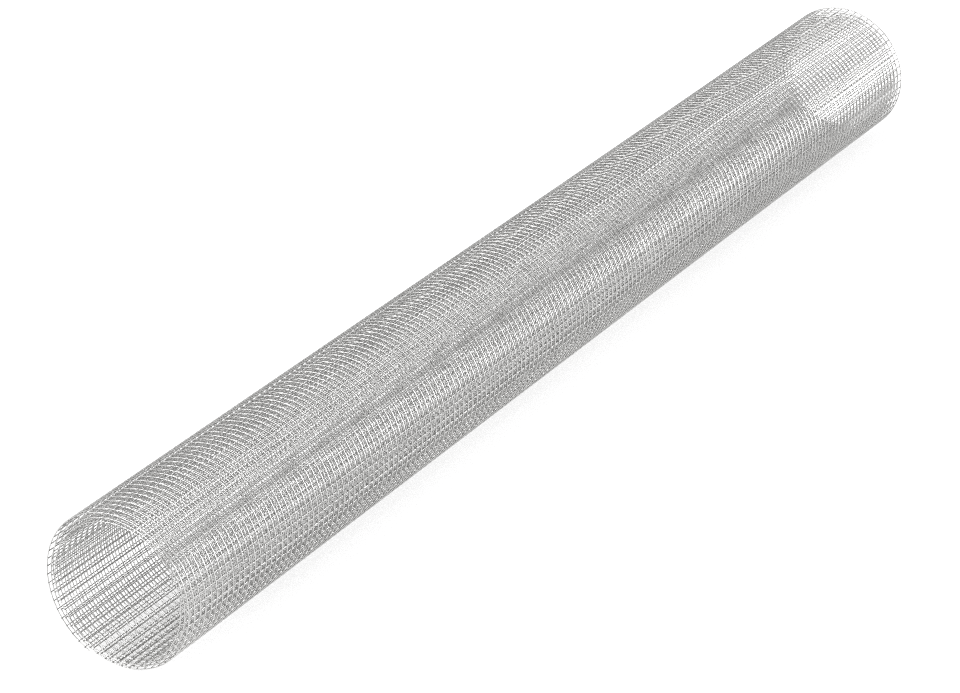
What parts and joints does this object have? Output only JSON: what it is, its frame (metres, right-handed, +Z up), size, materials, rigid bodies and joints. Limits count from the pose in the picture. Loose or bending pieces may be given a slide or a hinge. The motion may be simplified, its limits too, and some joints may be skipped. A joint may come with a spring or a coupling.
{
  "type": "roll of welded wire mesh",
  "caption": "Long see-through roll of fine square welded wire mesh, lying on its side, with an open bore and its turns showing on both ends.",
  "frame": {"origin": "on the floor under the middle of the roll", "axes": "+X along the roll's axis, +Z up, +Y to the side"},
  "size_m": [1, 0.104, 0.1039],
  "materials": {
    "zinc_wire": "hot-dip galvanised wire, bright satin zinc with duller patches"
  },
  "bodies": {
    "root": {"mesh_roll": "zinc_wire"}
  },
  "joints": []
}
